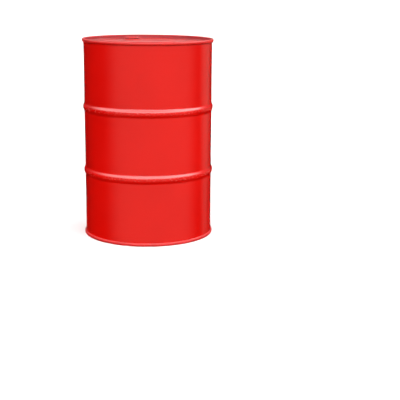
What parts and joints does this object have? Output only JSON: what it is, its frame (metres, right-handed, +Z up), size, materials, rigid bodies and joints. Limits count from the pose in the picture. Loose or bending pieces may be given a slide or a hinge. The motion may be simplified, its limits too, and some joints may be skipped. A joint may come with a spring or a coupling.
{
  "type": "steel drum",
  "caption": "Tight-head steel drum with rolling hoops, double-seamed recessed heads and screw-in bungs, for storing and shipping liquids.",
  "frame": {"origin": "centre of the circle that the drum stands on, on the floor plane", "axes": "+Z up along the drum's axis; -Y towards the viewer; the large bung lies on the +Y side"},
  "size_m": [0.587, 0.587, 0.884],
  "materials": {
    "body_paint": "semi-gloss red enamel",
    "head_paint": "semi-gloss red enamel",
    "bung_paint": "semi-gloss red enamel over pressed steel",
    "zinc_steel": "zinc-plated pressed steel",
    "black_rubber": "matt",
    "seam_compound": "matt, cured sealant"
  },
  "bodies": {
    "drum": {"body_shell": "body_paint", "top_head": "head_paint", "bottom_head": "head_paint", "top_seam_compound": "seam_compound", "bottom_seam_compound": "seam_compound", "flange_2in": "zinc_steel", "flange_gasket_2in": "black_rubber", "flange_3_4in": "zinc_steel", "flange_gasket_3_4in": "black_rubber"},
    "bung_2in_gasket": {"plug_gasket_2in": "black_rubber"},
    "bung_2in": {"plug_2in": "bung_paint"},
    "bung_3_4in_gasket": {"plug_gasket_3_4in": "black_rubber"},
    "bung_3_4in": {"plug_3_4in": "bung_paint"}
  },
  "joints": [
    {"name": "bung_2in_rise", "type": "slide", "parent": "drum", "child": "bung_2in_gasket", "axis": [0, 0, 1], "range_m": [0, 0.0165]},
    {"name": "bung_2in_turn", "type": "hinge", "parent": "bung_2in_gasket", "child": "bung_2in", "pos_m": [-0.07353, 0.20203, 0.8717], "axis": [0, 0, 1], "range_deg": [0, 2520]},
    {"name": "bung_3_4in_rise", "type": "slide", "parent": "drum", "child": "bung_3_4in_gasket", "axis": [0, 0, 1], "range_m": [0, 0.0148]},
    {"name": "bung_3_4in_turn", "type": "hinge", "parent": "bung_3_4in_gasket", "child": "bung_3_4in", "pos_m": [0.07353, -0.20203, 0.8717], "axis": [0, 0, 1], "range_deg": [0, 2880]}
  ],
  "couplings": [
    {"joint": "bung_2in_rise", "follows": "bung_2in_turn", "m_per_rad": 0.00036749},
    {"joint": "bung_3_4in_rise", "follows": "bung_3_4in_turn", "m_per_rad": 0.00028871}
  ]
}
